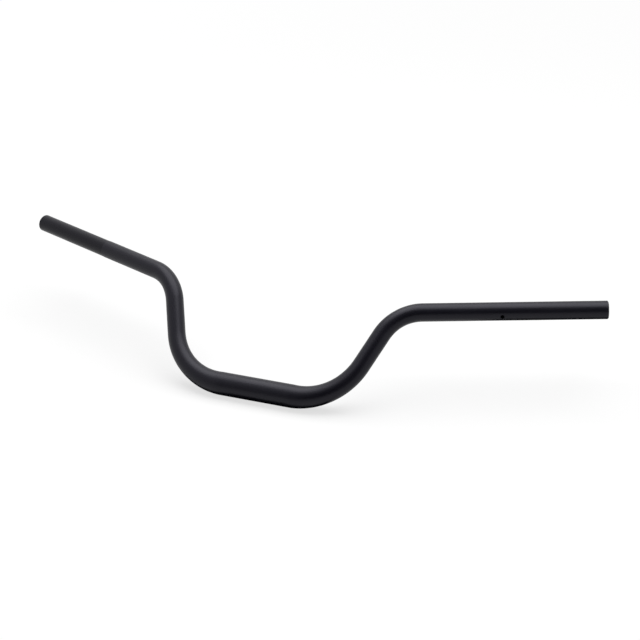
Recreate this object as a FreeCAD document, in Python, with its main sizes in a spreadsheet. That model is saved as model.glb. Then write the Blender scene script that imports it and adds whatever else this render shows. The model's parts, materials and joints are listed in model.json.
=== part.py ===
import FreeCAD, Part
import math
import os
import Sketcher

# Tapered motorbike handlebar: one seamless aluminium tube, swaged from a thick
# clamp zone down to thin grips and then bent twice on each side.
#
# Frame: the origin is the middle of the clamp zone, on the tube's axis.
# +X runs along the clamp zone to the rider's left, -Y is forward and +Z is up.
# The tube is drawn standing, with its rise bends in the XZ plane, and the
# finished bar is leaned back about X until its grips are level.

SIZES = (
    ("clamp_dia", "28.6", "outside diameter where the risers clamp the bar"),
    ("grip_dia", "22.2", "outside diameter of the legs and grips"),
    ("wall", "4", "wall thickness, the same all along the tube"),
    ("clamp_length", "96", "straight clamp zone between the two rise bends"),
    ("rise_bend_radius", "80", "centre-line radius of the bend from clamp zone to leg"),
    ("rise_bend_angle", "70", "angle of that bend, in degrees"),
    ("taper_at_middle", "0.34", "share of the taper still left half way round the rise bend"),
    ("leg_length", "44", "straight leg between the rise bend and the grip bend"),
    ("grip_bend_radius", "60", "centre-line radius of the bend from leg to grip"),
    ("grip_bend_angle", "56", "angle of that bend, in degrees"),
    ("sweep_turn", "18", "turn of the grip bend's plane about the leg, which sweeps the grip back"),
    ("grip_length", "222", "straight grip, from its bend to the bar end"),
    ("lean_back", "45", "lean of the rise bends' plane that brings the grips level"),
    ("end_chamfer", "1", "chamfer round the outside of both bar ends"),
    ("seat_dia", "21.7", "turned-down seat for the throttle tube, on the right grip"),
    ("seat_length", "128", "length of that seat from the bar end"),
    ("hole_dia", "5", "locating hole for the switch housing, in the left grip"),
    ("hole_from_end", "127", "distance of that hole from the bar end"),
    ("hole_turn", "48", "turn of that hole about the grip, from the grip bend's normal"),
)

LEFT = 1
RIGHT = -1

doc = FreeCAD.newDocument("TaperedHandlebar")

sheet = doc.addObject("Spreadsheet::Sheet", "Sizes")
for row, (alias, number, note) in enumerate(SIZES, start=1):
    sheet.set(f"A{row}", alias)
    sheet.set(f"B{row}", number)
    sheet.set(f"C{row}", note)
    sheet.setAlias(f"B{row}", alias)
doc.recompute()

body = doc.addObject("PartDesign::Body", "Handlebar")
body.Label = "handlebar"
body.setExpression("Placement", "placement(vector(0; 0; 0); rotation(vector(1; 0; 0); -Sizes.lean_back))")

planes = {plane.Role: plane for plane in body.Origin.OriginFeatures}

UP = FreeCAD.Vector(0, 0, 1)

# Expressions for values that several features share.
TAPER_DIA = "Sizes.grip_dia + Sizes.taper_at_middle * (Sizes.clamp_dia - Sizes.grip_dia)"
NO_SHIFT = "vector(0; 0; 0)"


def drawn(alias):
    """A size as it stands in the sheet, for geometry that is drawn before it is bound."""
    return float(sheet.get(alias))


def bind(sketch, expression, kind, *where):
    """Constraint whose value is bound to an expression."""
    row = sketch.addConstraint(Sketcher.Constraint(kind, *where))
    sketch.setExpression(f"Constraints[{row}]", expression)


def new_sketch(name, plane, offset):
    """Sketch on one of the body's own planes, moved off it by a placement expression."""
    sketch = body.newObject("Sketcher::SketchObject", name)
    sketch.AttachmentSupport = [(planes[plane], "")]
    sketch.MapMode = "FlatFace"
    if offset:
        sketch.setExpression("AttachmentOffset", offset)
    return sketch


def add_circle(sketch, dia):
    """Circle about the sketch's origin, with its diameter bound to an expression."""
    drawn_dia = drawn("grip_dia")
    circle = sketch.addGeometry(Part.Circle(FreeCAD.Vector(), UP, drawn_dia / 2))
    sketch.addConstraint(Sketcher.Constraint("Coincident", circle, 3, -1, 1))
    bind(sketch, dia, "Diameter", circle, drawn_dia)


def tube_section(name, dia, offset):
    """Cross-section of the tube: an outer circle and the bore inside its wall."""
    sketch = new_sketch(name, "YZ_Plane", offset)
    add_circle(sketch, dia)
    add_circle(sketch, f"{dia} - 2 * Sizes.wall")
    return sketch


def rise_station(share):
    """Place of a cross-section on the left rise bend: share 0 is its start, 1 its end."""
    turned = f"{share} * Sizes.rise_bend_angle"
    up = f"Sizes.rise_bend_radius * (1 - cos({turned}))"
    out = f"Sizes.clamp_length / 2 + Sizes.rise_bend_radius * sin({turned})"
    return f"placement(vector(0; {up}; {out}); rotation(vector(1; 0; 0); -{turned}))"


def leg_frame(side):
    """Frame at the foot of a leg: X along the leg, XY in the plane of its grip bend."""
    out = "(Sizes.clamp_length / 2 + Sizes.rise_bend_radius * sin(Sizes.rise_bend_angle))"
    up = "Sizes.rise_bend_radius * (1 - cos(Sizes.rise_bend_angle))"
    along_leg = f"rotation(vector(0; 0; 1); 90 - {side} * (90 - Sizes.rise_bend_angle))"
    turn = f"rotation(vector(1; 0; 0); {side} * Sizes.sweep_turn)"
    return f"placement(vector({side} * {out}; {up}; 0); {along_leg}) * placement({NO_SHIFT}; {turn})"


def grip_frame(side, from_end):
    """Frame on a grip's axis, at a distance from the bar end, with X pointing outwards."""
    along = f"(Sizes.grip_length - {from_end})"
    out = f"Sizes.grip_bend_radius * sin(Sizes.grip_bend_angle) + {along} * cos(Sizes.grip_bend_angle)"
    drop = f"Sizes.grip_bend_radius * (1 - cos(Sizes.grip_bend_angle)) + {along} * sin(Sizes.grip_bend_angle)"
    turn = f"rotation(vector(0; 0; 1); -{side} * Sizes.grip_bend_angle)"
    shift = f"vector(Sizes.leg_length + {out}; -{side} * ({drop}); 0)"
    return f"{leg_frame(side)} * placement({shift}; {turn})"


# Centre line of the left rise bend, in the XZ plane.
rise_path = new_sketch("RisePath", "XZ_Plane", "")
rise_turn = math.radians(drawn("rise_bend_angle"))
rise_centre = FreeCAD.Vector(drawn("clamp_length") / 2, drawn("rise_bend_radius"), 0)
rise_circle = Part.Circle(rise_centre, UP, drawn("rise_bend_radius"))
rise_arc = rise_path.addGeometry(Part.ArcOfCircle(rise_circle, -math.pi / 2, rise_turn - math.pi / 2))
rise_path.addConstraint(Sketcher.Constraint("PointOnObject", rise_arc, 1, -1))
rise_path.addConstraint(Sketcher.Constraint("Vertical", rise_arc, 1, rise_arc, 3))
bind(rise_path, "Sizes.clamp_length / 2", "DistanceX", -1, 1, rise_arc, 1, drawn("clamp_length") / 2)
bind(rise_path, "Sizes.rise_bend_radius", "Radius", rise_arc, drawn("rise_bend_radius"))
bind(rise_path, "Sizes.rise_bend_angle", "Angle", rise_arc, rise_turn)

# Centre line of the left leg, grip bend and grip, in the turned plane of that bend.
grip_path = new_sketch("GripPath", "XZ_Plane", leg_frame(LEFT))
grip_turn = math.radians(drawn("grip_bend_angle"))
leg_top = FreeCAD.Vector(drawn("leg_length"), 0, 0)
grip_centre = leg_top - FreeCAD.Vector(0, drawn("grip_bend_radius"), 0)
grip_circle = Part.Circle(grip_centre, UP, drawn("grip_bend_radius"))
grip_curve = Part.ArcOfCircle(grip_circle, math.pi / 2 - grip_turn, math.pi / 2)
grip_run = FreeCAD.Vector(math.cos(grip_turn), -math.sin(grip_turn), 0) * drawn("grip_length")
leg = grip_path.addGeometry(Part.LineSegment(FreeCAD.Vector(), leg_top))
grip_arc = grip_path.addGeometry(grip_curve)
grip = grip_path.addGeometry(Part.LineSegment(grip_curve.StartPoint, grip_curve.StartPoint + grip_run))
grip_path.addConstraint(Sketcher.Constraint("Coincident", leg, 1, -1, 1))
grip_path.addConstraint(Sketcher.Constraint("Horizontal", leg))
grip_path.addConstraint(Sketcher.Constraint("Tangent", leg, 2, grip_arc, 2))
grip_path.addConstraint(Sketcher.Constraint("Tangent", grip_arc, 1, grip, 1))
bind(grip_path, "Sizes.leg_length", "Distance", leg, drawn("leg_length"))
bind(grip_path, "Sizes.grip_bend_radius", "Radius", grip_arc, drawn("grip_bend_radius"))
bind(grip_path, "Sizes.grip_bend_angle", "Angle", grip_arc, grip_turn)
bind(grip_path, "Sizes.grip_length", "Distance", grip, drawn("grip_length"))

# Left half of the clamp zone, straight and at its full diameter.
clamp_section = tube_section("ClampSection", "Sizes.clamp_dia", "")
clamp_zone = body.newObject("PartDesign::Pad", "ClampZone")
clamp_zone.Profile = clamp_section
clamp_zone.setExpression("Length", "Sizes.clamp_length / 2")

# The taper lies in the rise bend: quick at first, then fading into the leg.
taper_start = tube_section("TaperStart", "Sizes.clamp_dia", rise_station(0))
taper_middle = tube_section("TaperMiddle", TAPER_DIA, rise_station(0.5))
taper_end = tube_section("TaperEnd", "Sizes.grip_dia", rise_station(1))
rise_bend = body.newObject("PartDesign::AdditivePipe", "RiseBend")
rise_bend.Profile = taper_start
rise_bend.Spine = rise_path
rise_bend.Transformation = "Multisection"
rise_bend.Sections = [taper_middle, taper_end]

# Leg, grip bend and grip are one sweep at the thin diameter.
leg_section = tube_section("LegSection", "Sizes.grip_dia", rise_station(1))
grip_sweep = body.newObject("PartDesign::AdditivePipe", "LegAndGrip")
grip_sweep.Profile = leg_section
grip_sweep.Spine = grip_path
doc.recompute()

# The bar end's outer edge is the rim that lies furthest out.
rims = [
    (edge.CenterOfMass.x, edge.Curve.Radius, f"Edge{number}")
    for number, edge in enumerate(grip_sweep.Shape.Edges, start=1)
    if isinstance(edge.Curve, Part.Circle)
]
end_x = max(rims)[0]
end_rim = max((radius, name) for x, radius, name in rims if abs(x - end_x) < 0.01)[1]
end_chamfer = body.newObject("PartDesign::Chamfer", "EndChamfer")
end_chamfer.Base = (grip_sweep, [end_rim])
end_chamfer.setExpression("Size", "Sizes.end_chamfer")
doc.recompute()

# The right half is the left half's mirror image.
both_sides = body.newObject("PartDesign::Mirrored", "BothSides")
both_sides.TransformMode = "Whole shape"
both_sides.MirrorPlane = (planes["YZ_Plane"], [""])
body.Tip = both_sides
doc.recompute()

# The throttle tube turns on a seat that is turned down a little from the bar end.
seat_face = f"{grip_frame(RIGHT, 0)} * placement({NO_SHIFT}; rotation(vector(0; 1; 0); {RIGHT} * -90))"
seat_ring = new_sketch("SeatRing", "XZ_Plane", seat_face)
add_circle(seat_ring, "Sizes.grip_dia + 2 * Sizes.wall")
add_circle(seat_ring, "Sizes.seat_dia")
throttle_seat = body.newObject("PartDesign::Pocket", "ThrottleSeat")
throttle_seat.Profile = seat_ring
throttle_seat.setExpression("Length", "Sizes.seat_length")
doc.recompute()

# One drilled hole, through the front wall only, locates the switch housing.
hole_axis = f"placement({NO_SHIFT}; rotation(vector(1; 0; 0); Sizes.hole_turn))"
hole_circle = new_sketch("HoleCircle", "XZ_Plane", f"{grip_frame(LEFT, 'Sizes.hole_from_end')} * {hole_axis}")
add_circle(hole_circle, "Sizes.hole_dia")
switch_hole = body.newObject("PartDesign::Pocket", "SwitchHole")
switch_hole.Profile = hole_circle
switch_hole.Reversed = True
switch_hole.setExpression("Length", "Sizes.grip_dia")
body.Tip = switch_hole
doc.recompute()

for item in doc.Objects:
    if "Invalid" in item.State or "Error" in item.State:
        raise RuntimeError(f"{item.Name} failed: {item.State}")
if body.Shape.isNull() or not body.Shape.isValid() or len(body.Shape.Solids) != 1:
    raise RuntimeError("the handlebar is not one valid solid")
for before, after in ((both_sides, throttle_seat), (throttle_seat, switch_hole)):
    if after.Shape.Volume >= before.Shape.Volume:
        raise RuntimeError(f"{after.Name} cut nothing")

os.makedirs("parts", exist_ok=True)
body.Shape.exportStep(f"parts/{body.Label}.step")

box = body.Shape.optimalBoundingBox()
print(f"{body.Label}: volume {body.Shape.Volume:.0f} mm3, faces {len(body.Shape.Faces)}")
print(f"size {box.XLength:.1f} x {box.YLength:.1f} x {box.ZLength:.1f} mm, lowest point {box.ZMin:.1f}")
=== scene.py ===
# %% [markdown]
# # A tapered handlebar
#
# The real bar is one aluminium tube. A mill draws it straight, a swaging machine squeezes both
# halves thinner, a bender turns each half twice, and then it is blasted, anodised and dyed black.
# This lesson builds it the same way: a straight tube profile, carried along a bent centre line.
#
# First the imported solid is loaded. It is the fixed frame that everything else is measured against.

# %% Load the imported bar
import json
import math
from collections import namedtuple

import bmesh
import bpy
from mathutils import Matrix, Quaternion, Vector
from mathutils.bvhtree import BVHTree


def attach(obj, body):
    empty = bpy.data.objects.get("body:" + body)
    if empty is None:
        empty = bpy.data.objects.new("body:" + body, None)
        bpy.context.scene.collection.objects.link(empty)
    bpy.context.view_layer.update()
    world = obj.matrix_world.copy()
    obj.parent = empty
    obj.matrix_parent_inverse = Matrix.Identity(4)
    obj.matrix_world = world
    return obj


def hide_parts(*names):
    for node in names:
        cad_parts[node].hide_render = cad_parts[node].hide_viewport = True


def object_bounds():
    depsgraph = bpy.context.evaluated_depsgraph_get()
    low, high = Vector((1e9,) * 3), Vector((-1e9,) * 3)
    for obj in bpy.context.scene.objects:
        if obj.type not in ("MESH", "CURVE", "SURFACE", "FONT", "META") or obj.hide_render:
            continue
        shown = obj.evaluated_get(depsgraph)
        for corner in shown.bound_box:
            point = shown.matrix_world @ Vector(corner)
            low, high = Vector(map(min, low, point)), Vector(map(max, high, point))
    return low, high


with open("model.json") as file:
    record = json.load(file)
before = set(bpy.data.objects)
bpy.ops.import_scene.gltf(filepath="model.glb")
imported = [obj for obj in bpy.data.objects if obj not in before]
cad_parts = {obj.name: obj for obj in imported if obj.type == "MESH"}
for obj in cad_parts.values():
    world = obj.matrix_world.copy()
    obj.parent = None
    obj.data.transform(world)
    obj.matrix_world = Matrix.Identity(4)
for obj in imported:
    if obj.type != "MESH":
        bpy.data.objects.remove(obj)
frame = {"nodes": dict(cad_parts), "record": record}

cad_low, cad_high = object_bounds()
cad_bar = frame["nodes"]["handlebar"]
mounts = {mount["name"]: mount for mount in frame["record"]["mounts"]}
print("CAD box from", [round(c, 4) for c in cad_low], "to", [round(c, 4) for c in cad_high])

# %% [markdown]
# ## The sizes
#
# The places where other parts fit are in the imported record, so their sizes are read from it. Only
# the bends are stated here, as a tube bender reads them off a drawing: a radius and an angle for
# each bend, the straight between them, and how far the plane of the second bend is turned.

# %% Sizes in metres and radians
MM = 0.001


def mount_size(name, size):
    """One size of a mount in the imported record, in metres."""
    return mounts[name]["dims"][size] * MM


clamp_radius = mount_size("clamp_zone", "r_mm")
clamp_half = mount_size("clamp_zone", "length_mm") / 2
grip_radius = mount_size("left_grip", "r_mm")
grip_length = mount_size("left_bar_end", "length_mm")
wall = grip_radius - mount_size("left_bar_end", "r_mm")
end_chamfer = grip_length - mount_size("left_grip", "length_mm")
seat_radius = mount_size("throttle_seat", "r_mm")
seat_length = grip_length - mount_size("right_lever_zone", "length_mm")
hole_radius = mount_size("switch_hole", "r_mm")

rise_bend_radius = 80 * MM
rise_bend_angle = math.radians(70)
taper_at_middle = 0.34
leg_length = 44 * MM
grip_bend_radius = 60 * MM
grip_bend_angle = math.radians(56)
sweep_turn = math.radians(18)
lean_back = math.radians(45)

rise_end = clamp_half + rise_bend_radius * rise_bend_angle
leg_end = rise_end + leg_length
bend_end = leg_end + grip_bend_radius * grip_bend_angle
half_length = bend_end + grip_length
seat_start = half_length - seat_length
print(f"tube {2 * half_length:.3f} m long before bending, wall {wall / MM:.1f} mm")

# %% [markdown]
# ## The centre line
#
# A bent tube is straight runs joined by arcs that meet them smoothly. A small frame walks along
# it: a direction along the tube and two directions across it. The frame never twists, so a line
# that is straight along the raw tube stays on its own side of it through every bend. A curve
# object with a bevel would do this too, but it gives no say over where its rings lie.
#
# A bender also flattens the tube a little, most in the middle of the bend: it gets thinner in the
# plane of the bend and wider across it. In the photograph the grip bends are about a fortieth
# thinner. That is too little to matter for a fit, so the CAD solid leaves it out.
#
# Only the left half is worked out. The right half is its mirror image.

# %% Walk along the left half of the centre line
RISE_BEND_FLATTENED = 0.010
GRIP_BEND_FLATTENED = 0.025

Place = namedtuple("Place", "point run across upward hinge flattened")
lean = Matrix.Rotation(-lean_back, 3, "X")


def centre_line(along):
    """The left half at a distance from its middle. A bend turns about its hinge."""
    point, run, across = Vector((0, 0, 0)), Vector((1, 0, 0)), Vector((0, -1, 0))
    hinge = across
    for length, radius, turn, most_flattened in (
        (clamp_half, None, 0, 0),
        (rise_end - clamp_half, rise_bend_radius, 0, RISE_BEND_FLATTENED),
        (leg_length, None, 0, 0),
        (bend_end - leg_end, -grip_bend_radius, sweep_turn, GRIP_BEND_FLATTENED),
        (grip_length, None, 0, 0),
    ):
        done = min(along, length)
        flattened = most_flattened * math.sin(math.pi * done / length) ** 2
        if radius is None:
            point = point + run * done
        else:
            hinge = Quaternion(run, turn) @ across
            arm = hinge.cross(run) * radius
            swing = Quaternion(hinge, done / radius)
            point = point + arm - swing @ arm
            run, across = swing @ run, swing @ across
        along -= done
        if along <= 0:
            break
    return Place(lean @ point, lean @ run, lean @ across, lean @ run.cross(across),
                 lean @ hinge, flattened)


bar_end, grip_run = centre_line(half_length)[:2]
print("bar end at", [round(c, 4) for c in bar_end], "grip runs", [round(c, 3) for c in grip_run])

# %% [markdown]
# ## The wall of the tube
#
# The outside keeps one diameter through the clamp zone, thins through the rise bend and keeps the
# thin diameter from there. The taper is quick at first and then fades, so a parabola through three
# diameters draws it. The bore runs one wall thickness inside.

# %% Radius along the tube
taper_radius = grip_radius + taper_at_middle * (clamp_radius - grip_radius)


def outer_radius(along):
    """Outside radius at a distance from the middle, before the throttle seat is turned."""
    u = min(max((along - clamp_half) / (rise_end - clamp_half), 0.0), 1.0)
    at_start, at_middle, at_end = (1 - u) * (1 - 2 * u), 4 * u * (1 - u), u * (2 * u - 1)
    return at_start * clamp_radius + at_middle * taper_radius + at_end * grip_radius


taper = [outer_radius(clamp_half + (rise_end - clamp_half) * k / 4) / MM for k in range(5)]
print("radius along the taper in mm", [round(radius, 2) for radius in taper])

# %% [markdown]
# The wall is a closed loop of rows: out along the outside, round one end face, back along the bore
# and round the other end face. Each row is a ring of points, and quads join it to the next. Rows
# lie close in the bends and wide on the straights, where nothing changes.
#
# The switch hole is drilled through the front wall of the left grip. A boolean cut would leave
# long thin faces that catch the light badly. Instead the rings leave a small window open there,
# and quads close it down to the drilled circle, so some rows are placed on the window's edges.

# %% Rows along each half
BEND_STEP = 2.5 * MM
STRAIGHT_STEP = 6 * MM
WINDOW = 5 * MM  # half its length along the tube
WINDOW_STEPS = 8
row_step = 2 * WINDOW / WINDOW_STEPS

hole_point = Vector(mounts["switch_hole"]["pos_m"])
hole_along = half_length - (bar_end - hole_point).dot(grip_run)


def spread(start, end, step):
    """Evenly spaced distances from start up to, but without, end."""
    count = max(1, round((end - start) / step))
    return [start + (end - start) * k / count for k in range(count)]


inner_rows = (
    spread(0, clamp_half, STRAIGHT_STEP)
    + spread(clamp_half, rise_end, BEND_STEP)
    + spread(rise_end, leg_end, STRAIGHT_STEP)
    + spread(leg_end, bend_end, BEND_STEP)
)
left_grip_rows = (
    spread(bend_end, hole_along - WINDOW, STRAIGHT_STEP)
    + spread(hole_along - WINDOW, hole_along + WINDOW, row_step)
    + spread(hole_along + WINDOW, half_length - end_chamfer, STRAIGHT_STEP)
)
right_grip_rows = spread(bend_end, seat_start, STRAIGHT_STEP)
seat_rows = spread(seat_start, half_length - end_chamfer, STRAIGHT_STEP)
print(len(inner_rows + left_grip_rows), "rows on the left,",
      len(inner_rows + right_grip_rows + seat_rows), "on the right")

# %% [markdown]
# The right grip is turned down a quarter of a millimetre for the throttle sleeve, which leaves a
# small square shoulder where the tool stopped. Both ends are faced off and chamfered.

# %% The closed profile
Row = namedtuple("Row", "along radius bore")
chamfered = grip_radius - end_chamfer


def chamfered_end(radius):
    """The last two rows of a half's outside, round its chamfer."""
    return [(half_length - radius + chamfered, radius), (half_length, chamfered)]


left_outside = [(along, outer_radius(along)) for along in inner_rows + left_grip_rows]
left_outside += chamfered_end(grip_radius)
right_outside = [(along, outer_radius(along)) for along in inner_rows + right_grip_rows]
right_outside += [(seat_start, grip_radius)] + [(along, seat_radius) for along in seat_rows]
right_outside += chamfered_end(seat_radius)
left_bore = [(along, outer_radius(along) - wall)
             for along in inner_rows + left_grip_rows + [half_length]]
right_bore = [(along, outer_radius(along) - wall)
              for along in inner_rows + right_grip_rows + seat_rows + [half_length]]

profile = [Row(-along, radius, False) for along, radius in right_outside[::-1]]
profile += [Row(along, radius, False) for along, radius in left_outside[1:]]
profile += [Row(along, radius, True) for along, radius in left_bore[::-1]]
profile += [Row(-along, radius, True) for along, radius in right_bore[1:]]
print(len(profile), "rows in the closed profile")

# %% [markdown]
# Rings of points come next. They start at the angle of the switch hole, so that the window is
# symmetrical about it. Each point also remembers where it lay on the straight tube, before it was
# bent. Grain and tool marks are drawn in those coordinates later, so they follow the bends.

# %% Points on the wall
SIDES = 120
WINDOW_SIDES = 8
WIDENED = 0.4  # how much of what a bend takes in its plane it gives back across it

at_hole = centre_line(hole_along)
hole_axis = Vector(mounts["switch_hole"]["axis"])
hole_angle = math.atan2(hole_axis.dot(at_hole.upward), hole_axis.dot(at_hole.across))

points, straight = [], []


def add_point(along, radius, turn):
    """Put one point on the wall, turn radians round from the switch hole, and return its number."""
    place = centre_line(abs(along))
    angle = hole_angle + turn
    outward = math.cos(angle) * place.across + math.sin(angle) * place.upward
    across_bend = outward.dot(place.hinge) ** 2
    bent_radius = radius * (1 + place.flattened * ((1 + WIDENED) * across_bend - 1))
    point = place.point + bent_radius * outward
    points.append((math.copysign(1, along) * point.x, point.y, point.z))
    straight.append((along, radius * math.cos(angle), radius * math.sin(angle)))
    return len(points) - 1


def turn_of(column):
    """How far round from the switch hole a column of points lies, in radians."""
    return 2 * math.pi * column / SIDES


rings = [[add_point(row.along, row.radius, turn_of(k)) for k in range(SIDES)] for row in profile]
print(len(points), "points in", len(rings), "rings")

# %% [markdown]
# Each strip of quads between two rings gets the finish that its place on the real bar has: blasted
# tube, turned seat, faced end or drawn bore. The window for the hole is left open on both skins.

# %% Quads between the rings
BLASTED, TURNED, FACED, DRAWN = range(4)
faces, finishes = [], []


def add_face(corners, finish):
    faces.append(corners)
    finishes.append(finish)


def finish_between(one, two):
    """Which of the four finishes lies between two rows."""
    if one.bore and two.bore:
        return DRAWN
    if one.bore or two.bore or chamfered in (one.radius, two.radius):
        return FACED
    return TURNED if max(one.along, two.along) <= -seat_start else BLASTED


def in_window(one, two, column):
    """Whether a quad lies in the window that is left open for the switch hole."""
    middle = (one.along + two.along) / 2
    near = column < WINDOW_SIDES or column >= SIDES - WINDOW_SIDES
    return near and one.bore == two.bore and abs(middle - hole_along) < WINDOW


for number, row in enumerate(profile):
    after = (number + 1) % len(profile)
    finish = finish_between(row, profile[after])
    for k in range(SIDES):
        if not in_window(row, profile[after], k):
            beside = (k + 1) % SIDES
            add_face((rings[number][k], rings[number][beside],
                      rings[after][beside], rings[after][k]), finish)
print(len(faces), "quads round the tube")

# %% [markdown]
# ## The switch hole
#
# A switch housing keys into this hole, so that it can't turn on the bar. Seen along the drill, the
# window is a rectangle and the hole a circle. The rings already have the points round the window.
# New rings of points, one for each of those, lie on the drill's circle. The drilled edge gets a
# small break, as a deburring tool leaves it.

# %% The window's edge and the drilled circles
EDGE_BREAK = 0.25 * MM
SLACK = 0.1 * MM  # so that rounding can't lose the window's first or last row

# Row and column of each point on the window's edge, counted from the hole.
round_window = [(WINDOW_STEPS // 2, k) for k in range(-WINDOW_SIDES, WINDOW_SIDES)]
round_window += [(-k, WINDOW_SIDES) for k in range(-WINDOW_STEPS // 2, WINDOW_STEPS // 2)]
round_window += [(-WINDOW_STEPS // 2, -k) for k in range(-WINDOW_SIDES, WINDOW_SIDES)]
round_window += [(k, -WINDOW_SIDES) for k in range(-WINDOW_STEPS // 2, WINDOW_STEPS // 2)]


def window_edge(skin_is_bore):
    """The points of the rings round the open window, in the order of round_window."""
    numbers = {round((row.along - hole_along) / row_step): number
               for number, row in enumerate(profile)
               if row.bore == skin_is_bore and abs(row.along - hole_along) < WINDOW + SLACK}
    return [rings[numbers[row]][column % SIDES] for row, column in round_window]


def circle(radius, skin, depth=0.0):
    """A ring of points on the drill's circle, on the tube's skin or a little below it."""
    ring = []
    for row, column in round_window:
        angle = math.atan2(grip_radius * math.sin(turn_of(column)), row * row_step)
        side = radius * math.sin(angle)
        height = math.sqrt(skin ** 2 - side ** 2) - depth
        ring.append(add_point(hole_along + radius * math.cos(angle),
                              math.hypot(side, height), math.atan2(side, height)))
    return ring


lip = circle(hole_radius + EDGE_BREAK, grip_radius)
drilled_top = circle(hole_radius, grip_radius, EDGE_BREAK)
drilled_bottom = circle(hole_radius, grip_radius - wall)
print(len(round_window), "points round the hole")

# %% [markdown]
# Points now slide from the window to the lip of the hole in a few steps. They are pushed onto the
# tube's curve, so the surface round the hole stays a true cylinder. Quads join each ring to the
# next: in to the lip, over the broken edge, down the drilled wall and out to the bore's window.

# %% Close the window
SLIDES = (0.35, 0.7)  # shares of the way from the window to the hole


def slide(ring, share, skin):
    """Points a share of the way from the window's edge to the circle, on the tube's skin."""
    made = []
    for (row, column), target in zip(round_window, ring):
        target_along, across, upward = straight[target]
        target_turn = math.atan2(upward, across) - hole_angle
        target_side = math.hypot(across, upward) * math.sin(target_turn)
        side = (1 - share) * skin * math.sin(turn_of(column)) + share * target_side
        along = (1 - share) * (hole_along + row * row_step) + share * target_along
        made.append(add_point(along, skin, math.asin(side / skin)))
    return made


def join(ring, inner, finish):
    """Close the gap between a ring and the next one inside it."""
    for k in range(len(ring)):
        after = (k + 1) % len(ring)
        add_face((ring[k], inner[k], inner[after], ring[after]), finish)


edge = window_edge(False)
for share in SLIDES:
    nearer = slide(lip, share, grip_radius)
    join(edge, nearer, BLASTED)
    edge = nearer
join(edge, lip, BLASTED)
join(lip, drilled_top, FACED)
join(drilled_top, drilled_bottom, FACED)
join(drilled_bottom, window_edge(True), DRAWN)
print(len(faces), "faces with the hole's")

# %% [markdown]
# ## The mesh
#
# Points and faces go into one mesh, without the points that no face uses, inside the window. Faces
# are shaded smooth, and edges that turn by more than 30 degrees stay crisp: the chamfers, the
# shoulder and the rim of the hole.
#
# Two sets of places go along with the mesh for its finishes: where each point lay on the straight
# tube, and where it was on the lathe, as a distance along the tube and one from its axis.

# %% Make the tube
CRISP_FROM = math.radians(30)

used = sorted({corner for face in faces for corner in face})
new_number = {old: new for new, old in enumerate(used)}
points = [points[old] for old in used]
straight = [straight[old] for old in used]
faces = [[new_number[corner] for corner in face] for face in faces]

tube_mesh = bpy.data.meshes.new("handlebar_tube")
tube_mesh.from_pydata(points, [], faces)
tube_mesh.polygons.foreach_set("material_index", finishes)
tube_mesh.polygons.foreach_set("use_smooth", [True] * len(faces))
tube_mesh.set_sharp_from_angle(angle=CRISP_FROM)
on_lathe = [(along, math.hypot(*round_tube), 0) for along, *round_tube in straight]
for name, places in (("before_bending", straight), ("on_lathe", on_lathe)):
    attribute = tube_mesh.attributes.new(name, "FLOAT_VECTOR", "POINT")
    attribute.data.foreach_set("vector", [c for place in places for c in place])
tube_mesh.validate()
print("tube of", len(tube_mesh.vertices), "points and", len(tube_mesh.polygons), "faces")

# %% [markdown]
# The mesh stands for the CAD node, which Blender hides, so it is measured against it: each corner
# of the CAD solid should lie on the new surface, apart from the flattened bends and the broken
# edge of the hole. A closed skin whose faces all look outward also holds a volume, which should be
# that of the solid.

# %% Put the tube in place of the solid
tube = bpy.data.objects.new("handlebar_tube", tube_mesh)
bpy.context.collection.objects.link(tube)
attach(tube, "root")
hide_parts("handlebar")

surface = BVHTree.FromPolygons(points, faces)
gaps = [surface.find_nearest(cad_bar.matrix_world @ v.co)[3] for v in cad_bar.data.vertices]
print(f"CAD corners lie within {max(gaps) / MM:.3f} mm of the mesh")


def volume(mesh):
    """Volume inside a closed mesh, in cubic metres."""
    solid = bmesh.new()
    solid.from_mesh(mesh)
    inside = solid.calc_volume(signed=True)
    solid.free()
    return inside


ML = 1e-6
print(f"volume {volume(tube_mesh) / ML:.2f} ml,",
      f"of the CAD solid {volume(cad_bar.data) / ML:.2f} ml")

# %% [markdown]
# ## The finishes
#
# The tube is aluminium, but what the eye meets is its anodised film: a thin clear oxide with black
# dye in its pores. So it behaves like a dark glaze with a soft sheen, not like bare metal. How
# it was prepared shows through the film: blasting leaves a fine even grain, a lathe leaves rings.
# The dye has a breath of violet in it, as many blacks have.
#
# One function turns hex colours into linear light, one empties a node tree, and one adds a node
# with its settings and links. Sockets that share a name go by number: in a Mix node, 0 is the
# share, 2 and 3 are the two numbers, and 6 and 7 the two colours.

# %% Colour and node helpers


def linear(hex_colour, alpha=1.0):
    """An sRGB hex colour as the linear values that shaders use."""
    shares = [int(hex_colour[k:k + 2], 16) / 255 for k in (1, 3, 5)]
    return [c / 12.92 if c <= 0.04045 else ((c + 0.055) / 1.055) ** 2.4 for c in shares] + [alpha]


def empty_tree(owner):
    """The node tree of a material or a world, with nothing in it."""
    owner.use_nodes = True
    owner.node_tree.nodes.clear()
    return owner.node_tree


def add_node(tree, kind, settings={}, inputs={}):
    """Add a node. Settings are its own options, inputs are values or the sockets that feed it."""
    made = tree.nodes.new("ShaderNode" + kind)
    for name, value in settings.items():
        setattr(made, name, value)
    for name, value in inputs.items():
        if isinstance(value, bpy.types.NodeSocket):
            tree.links.new(value, made.inputs[name])
        else:
            made.inputs[name].default_value = value
    return made


print("black dye in linear light", [round(c, 4) for c in linear("#0d0c14")])

# %% [markdown]
# ### How a finish is drawn
#
# Each finish has some kinds of mark. A mark is noise that is stretched to the mark's size and
# tilts the surface a little, as a bump. Its depth is some hundredths of a millimetre, so it is
# seen only in the sheen. The dye also takes up unevenly, over some centimetres and a little along
# the last of the marks, and where it is paler the film is duller too.

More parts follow.
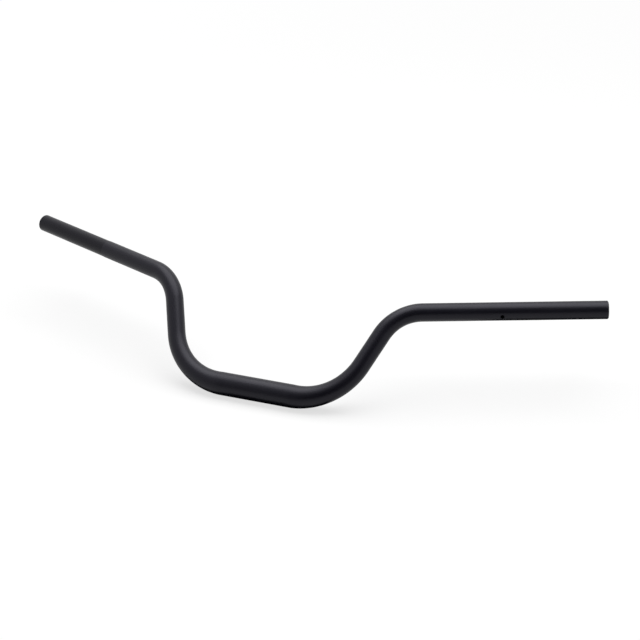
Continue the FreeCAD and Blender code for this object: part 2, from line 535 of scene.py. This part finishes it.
# %% Black anodised aluminium
CLOUD_SIZE = 35  # mm
MARKS_IN_DYE = 0.4  # share of the marks in the dye's unevenness
DULLER = 0.05  # roughness more where the dye is palest, and less where it is darkest
MARK_LAYERS, CLOUD_LAYERS = 4.0, 3.0  # finer layers of noise, each half as large as the last
LAYER_STRENGTH = 0.55
FILM_IOR = 1.5
SHEEN_TINT = "#f3f2ff"
NOISE_RANGE = (0.3, 0.7)  # where nearly all of a noise's values lie


def anodised(name, dye, pale_dye, roughness, gloss, marks):
    """Black anodised aluminium. Each mark has its places, its sizes in mm and its depth in mm."""
    material = bpy.data.materials.new(name)
    tree = empty_tree(material)
    bump = {}
    for places, sizes, depth in marks:
        place = add_node(tree, "Attribute", {"attribute_name": places})
        mapped = add_node(tree, "Mapping", {}, {"Vector": place.outputs["Vector"],
                                                "Scale": [1 / (size * MM) for size in sizes]})
        mark = add_node(tree, "TexNoise", {}, {"Vector": mapped.outputs["Vector"], "Scale": 1.0,
                                               "Detail": MARK_LAYERS, "Roughness": LAYER_STRENGTH})
        tilted = add_node(tree, "Bump", {}, {"Height": mark.outputs["Fac"], "Distance": depth * MM,
                                             **bump})
        bump = {"Normal": tilted.outputs["Normal"]}

    place = add_node(tree, "Attribute", {"attribute_name": "before_bending"})
    cloud = add_node(tree, "TexNoise", {}, {"Vector": place.outputs["Vector"],
                                            "Scale": 1 / (CLOUD_SIZE * MM), "Detail": CLOUD_LAYERS})
    uneven = add_node(tree, "Mix", {}, {0: MARKS_IN_DYE, 2: cloud.outputs["Fac"],
                                        3: mark.outputs["Fac"]})
    colour = add_node(tree, "Mix", {"data_type": "RGBA"}, {
        0: uneven.outputs[0], 6: linear(dye), 7: linear(pale_dye)})
    rough = add_node(tree, "MapRange", {}, {
        "Value": uneven.outputs[0], "From Min": NOISE_RANGE[0], "From Max": NOISE_RANGE[1],
        "To Min": roughness - DULLER, "To Max": roughness + DULLER})
    shader = add_node(tree, "BsdfPrincipled", {}, {
        "Base Color": colour.outputs[2], "Roughness": rough.outputs["Result"], "Metallic": 0.0,
        "IOR": FILM_IOR, "Specular IOR Level": gloss, "Specular Tint": linear(SHEEN_TINT), **bump})
    add_node(tree, "OutputMaterial", {}, {"Surface": shader.outputs["BSDF"]})
    return material


print("clouds of paler dye are", CLOUD_SIZE, "mm across")

# %% [markdown]
# ### Blasted and drawn
#
# Glass beads dent the aluminium all over with dimples of about 0.1 mm. Under them, lines from the
# drawing die run along the tube, some tenths of a millimetre wide. Both are too fine for the
# render, so they start at 1.6 and 1.2 mm there, and the finer layers of the noise go down to the
# real size. In the bore nothing was blasted: its draw lines are deeper and the film is dull.
#
# ### Turned and faced
#
# A lathe tool leaves a ring on each turn, 0.2 mm from the last. They run round the throttle seat,
# and on the end faces they lie one inside the other. They too are drawn coarser than they are.

# %% A material for each finish
FOREVER = math.inf  # no change in this direction
grain = ("before_bending", (1.6, 1.6, 1.6), 0.07)
draw_lines = ("before_bending", (60, 1.2, 1.2), 0.04)
deep_draw_lines = ("before_bending", (60, 0.8, 0.8), 0.06)
lathe_rings = ("on_lathe", (1.5, 0.5, FOREVER), 0.03)

finish_materials = (
    anodised("black_anodised_aluminium_blasted", "#0d0c14", "#111018", 0.39, 0.25,
             (grain, draw_lines)),
    anodised("black_anodised_aluminium_turned", "#0c0b11", "#0f0e15", 0.35, 0.18,
             (grain, lathe_rings)),
    anodised("black_anodised_aluminium_faced", "#0d0c14", "#111018", 0.35, 0.25, (lathe_rings,)),
    anodised("black_anodised_aluminium_drawn", "#0e0d13", "#15141a", 0.55, 0.25,
             (deep_draw_lines,)),
)
for material in finish_materials:
    tube_mesh.materials.append(material)
print([material.name for material in tube_mesh.materials])

# %% [markdown]
# ## The studio
#
# The bar stands on its clamp zone on white paper, inside a tent of white cloth that is open at the
# front, with one large soft lamp above. A dark satin tube is mostly a picture of what is round
# it: the lamp gives the light band along its top, the open front of the tent a dark band that
# faces the viewer, and the paper a soft light along its underside.
#
# The tent's cloth lights the bar evenly, at a low level. A ray that comes straight from the camera
# or off something shiny sees the cloth as white instead. That makes the background white without
# putting more light on the bar.

# %% White tent
TENT_LIGHT = 0.3


def seen_directly(tree):
    """One where a ray comes straight from the camera or from a reflection, else nothing."""
    path = add_node(tree, "LightPath").outputs
    either = add_node(tree, "Math", {"operation": "MAXIMUM"},
                      {0: path["Is Camera Ray"], 1: path["Is Glossy Ray"]})
    seen = add_node(tree, "Math", {"operation": "MAXIMUM"},
                    {0: either.outputs["Value"], 1: path["Is Transmission Ray"]})
    return seen.outputs["Value"]


tent = bpy.data.worlds.new("white_tent")
bpy.context.scene.world = tent
tree = empty_tree(tent)
level = add_node(tree, "MapRange", {}, {"Value": seen_directly(tree),
                                        "To Min": TENT_LIGHT, "To Max": 1.0})
cloth = add_node(tree, "Background", {}, {"Color": (1, 1, 1, 1),
                                          "Strength": level.outputs["Result"]})
add_node(tree, "OutputWorld", {}, {"Surface": cloth.outputs["Background"]})
print("the tent lights the bar with", TENT_LIGHT, "of the white that is seen")

# %% [markdown]
# ### The paper
#
# The paper is a grey sheet that takes the lamp's light and keeps the bar's soft shadow. A glow that
# only the camera and reflections see lifts it to white. To them it is also a darker grey, with more
# of the glow, so that the shadow stays faint. Far from the lamp its light fades and the glow grows,
# and paper and tent meet without a seam.

# %% White paper
PAPER_LIFT = (0.68, 0.95)
LIFT_REACH = (0.3, 2.6)
LAMP = Vector((0.0, 0.5, 1.6))

paper = bpy.data.materials.new("white_paper")
tree = empty_tree(paper)
seen = seen_directly(tree)
grey = add_node(tree, "Mix", {"data_type": "RGBA"},
                {0: seen, 6: linear("#a5a5a5"), 7: linear("#909090")})
sheet = add_node(tree, "BsdfDiffuse", {}, {"Color": grey.outputs[2]})
place = add_node(tree, "NewGeometry").outputs["Position"]
from_lamp = add_node(tree, "VectorMath", {"operation": "DISTANCE"},
                     {0: place, 1: (LAMP.x, LAMP.y, cad_low.z)})
fading = add_node(tree, "MapRange", {"interpolation_type": "SMOOTHSTEP"}, {
    "Value": from_lamp.outputs["Value"], "From Min": LIFT_REACH[0], "From Max": LIFT_REACH[1],
    "To Min": PAPER_LIFT[0], "To Max": PAPER_LIFT[1]})
lift = add_node(tree, "Math", {"operation": "MULTIPLY"},
                {0: seen, 1: fading.outputs["Result"]})
glow = add_node(tree, "Emission", {}, {"Strength": lift.outputs["Value"]})
both = add_node(tree, "AddShader", {}, {0: sheet.outputs["BSDF"], 1: glow.outputs["Emission"]})
add_node(tree, "OutputMaterial", {}, {"Surface": both.outputs["Shader"]})
print("paper glows with", PAPER_LIFT[0], "near the bar and", PAPER_LIFT[1], "far away")

# %% [markdown]
# The sheet is far larger than the view. It lies a hair below the bar, so that the two share no
# surface, and it is not attached to the bar.

# %% Floor
FLOOR_REACH = 30.0
ground = cad_low.z - 0.02 * MM


def flat_sheet(name, corners, material):
    """A flat piece of the studio."""
    mesh = bpy.data.meshes.new(name)
    mesh.from_pydata(corners, [], [range(len(corners))])
    mesh.materials.append(material)
    sheet = bpy.data.objects.new(name, mesh)
    bpy.context.collection.objects.link(sheet)
    return sheet


flat_sheet("floor", [(x * FLOOR_REACH, y * FLOOR_REACH, ground)
                     for x, y in ((-1, -1), (1, -1), (1, 1), (-1, 1))], paper)
print("paper at", round(ground, 5), "m")

# %% [markdown]
# ### The dark cloth
#
# Dark things are lit with black as much as with white. The room in front of the tent is dark, and
# a tall panel of felt stands for it. Felt is matt and swallows nearly all light, so its reflection
# is the dark band along the bar.

# %% Dark opening
OPENING_AWAY, OPENING_HALF, OPENING_HEIGHT = 3.0, 2.6, 8.0

felt = bpy.data.materials.new("black_felt")
tree = empty_tree(felt)
pile = add_node(tree, "BsdfPrincipled", {}, {"Base Color": linear("#0a0a0a"), "Roughness": 1.0,
                                             "Specular IOR Level": 0.0})
add_node(tree, "OutputMaterial", {}, {"Surface": pile.outputs["BSDF"]})

facing = math.radians(15)
outward = Vector((math.sin(facing), -math.cos(facing), 0))
sideways = OPENING_HALF * Vector((math.cos(facing), math.sin(facing), 0))
upward = Vector((0, 0, OPENING_HEIGHT))
foot = OPENING_AWAY * outward + Vector((0, 0, ground))
opening = flat_sheet("tent_opening", [foot - sideways, foot + sideways, foot + sideways + upward,
                                      foot - sideways + upward], felt)
print("tent opens", [round(c, 2) for c in outward])

# %% [markdown]
# Two strips of felt lie on the paper as painted shadow: dark sheets laid where the shade under a
# real bar would lie, to darken its underside in reflection. The one below the clamp zone makes its
# lower edge black, and the other darkens the outer part of the left grip. They end in points, so
# that they fade out.
#
# The felt shows in reflections only. It throws no shadow and takes no light from the bar.

# %% Strips of felt, painted shadow
ON_PAPER = 0.01 * MM


def painted_shadow_strip(name, start, end, tips, front, back):
    """A painted shadow: a strip of felt on the paper under a stretch of the bar, with a tip at each
    end.
    """
    run = (end - start).normalized()
    to_front, to_back = Vector((0, front, 0)), Vector((0, back, 0))
    outline = (start - tips[0] * run, start + to_front, end + to_front,
               end + tips[1] * run, end + to_back, start + to_back)
    return flat_sheet(name, [(place.x, place.y, ground + ON_PAPER) for place in outline], felt)


# Painted shadow under the clamp zone and the outer left grip, seen only in the bar's reflections.
clamp_painted_shadow = painted_shadow_strip("clamp_painted_shadow", Vector((-0.03, 0, 0)), Vector((0.04, 0, 0)),
                         tips=(0.11, 0.08), front=-0.022, back=0.02)
grip_painted_shadow = painted_shadow_strip("grip_painted_shadow", bar_end - 0.11 * grip_run, bar_end + 0.03 * grip_run,
                        tips=(0.05, 0.05), front=-0.03, back=0.15)
for dark in (opening, clamp_painted_shadow, grip_painted_shadow):
    dark.visible_camera = dark.visible_shadow = dark.visible_diffuse = False
print("felt in reflections only:", opening.name, clamp_painted_shadow.name, grip_painted_shadow.name)

# %% [markdown]
# ### The lamp
#
# A soft box hangs over the bar and a little behind it. It is much larger than the bar, so the light
# band on top of the tube fades softly at its edges, and the shadow on the paper stays faint.

# %% Soft box
lamp = bpy.data.lights.new("overhead_softbox", "AREA")
lamp.shape, lamp.size, lamp.size_y = "RECTANGLE", 2.2, 1.6
lamp.energy = 37
softbox = bpy.data.objects.new("overhead_softbox", lamp)
softbox.location = LAMP
middle_of_bar = Vector((0, 0.1, 0.05))
softbox.rotation_euler = (middle_of_bar - LAMP).to_track_quat("-Z", "Y").to_euler()
bpy.context.collection.objects.link(softbox)
bpy.context.scene.view_settings.view_transform = "Standard"
print(f"soft box of {lamp.size:.1f} by {lamp.size_y:.1f} m, {LAMP.z:.1f} m up")

# %% [markdown]
# ## The camera
#
# The view is from the front left, from a little above, through a long lens, so the near grip looks
# hardly larger than the far one. It leans by under two degrees, as the photograph does.

# %% Camera
CAMERA_AWAY = 2.35
camera_data = bpy.data.cameras.new("camera")
camera_data.lens, camera_data.sensor_width = 109.0, 36.0
camera = bpy.data.objects.new("camera", camera_data)
aim = Vector((58.55, 66.18, 72.93)) * MM
azimuth, elevation, tilt = math.radians(23.27), math.radians(27.31), math.radians(-1.773)
back = Vector((math.sin(azimuth) * math.cos(elevation), -math.cos(azimuth) * math.cos(elevation),
               math.sin(elevation)))
camera.location = aim + CAMERA_AWAY * back
camera.rotation_mode = "QUATERNION"
camera.rotation_quaternion = back.to_track_quat("Z", "Y") @ Quaternion((0, 0, 1), tilt)
bpy.context.collection.objects.link(camera)
bpy.context.scene.camera = camera
print("camera at", [round(c, 3) for c in camera.location])
